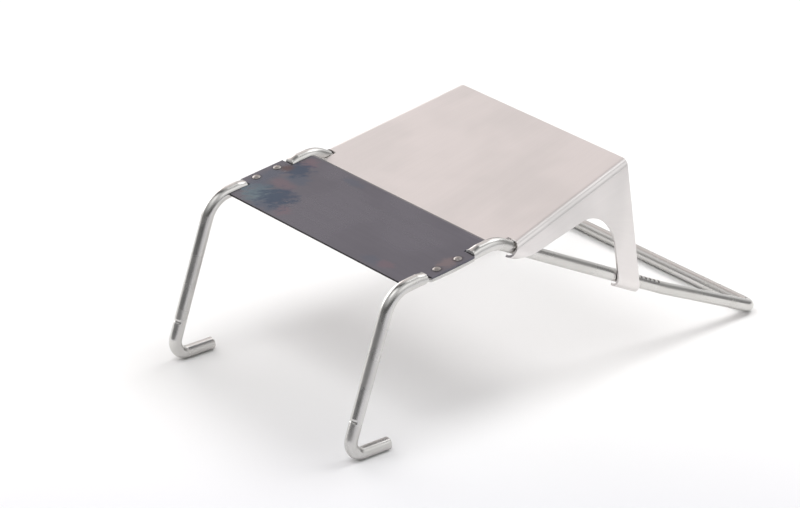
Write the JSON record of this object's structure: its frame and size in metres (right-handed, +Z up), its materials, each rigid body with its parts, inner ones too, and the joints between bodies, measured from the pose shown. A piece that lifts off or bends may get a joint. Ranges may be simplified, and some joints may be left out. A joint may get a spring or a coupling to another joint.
{
  "type": "manual vegetable slicer",
  "caption": "Table-top vegetable slicer: a stand bent from round wire carries a riveted blade, and a bent sheet plate slides along its notched rails to set how thick the slices are.",
  "frame": {"origin": "on the table, under the middle of the footprint", "axes": "+Z up, +Y to the rear, from the blade towards the cross bar, +X to the right of a user who stands behind the feet and looks to the rear"},
  "size_m": [0.1284, 0.2296, 0.0902],
  "materials": {
    "wire_steel": "polished stainless steel wire",
    "blade_steel": "dark tempered carbon steel, satin",
    "rivet_steel": "pale satin steel",
    "plate_steel": "fine brushed stainless sheet"
  },
  "bodies": {
    "stand": {"wire_frame": "wire_steel", "blade": "blade_steel", "rivet_left_front": "rivet_steel", "rivet_left_rear": "rivet_steel", "rivet_right_front": "rivet_steel", "rivet_right_rear": "rivet_steel"},
    "carriage": {"slicing_plate": "plate_steel"}
  },
  "joints": [
    {"name": "slice_thickness_slide", "type": "slide", "parent": "stand", "child": "carriage", "axis": [0, 0.8894, -0.4571], "range_m": [-0.0028, 0.0168]}
  ]
}
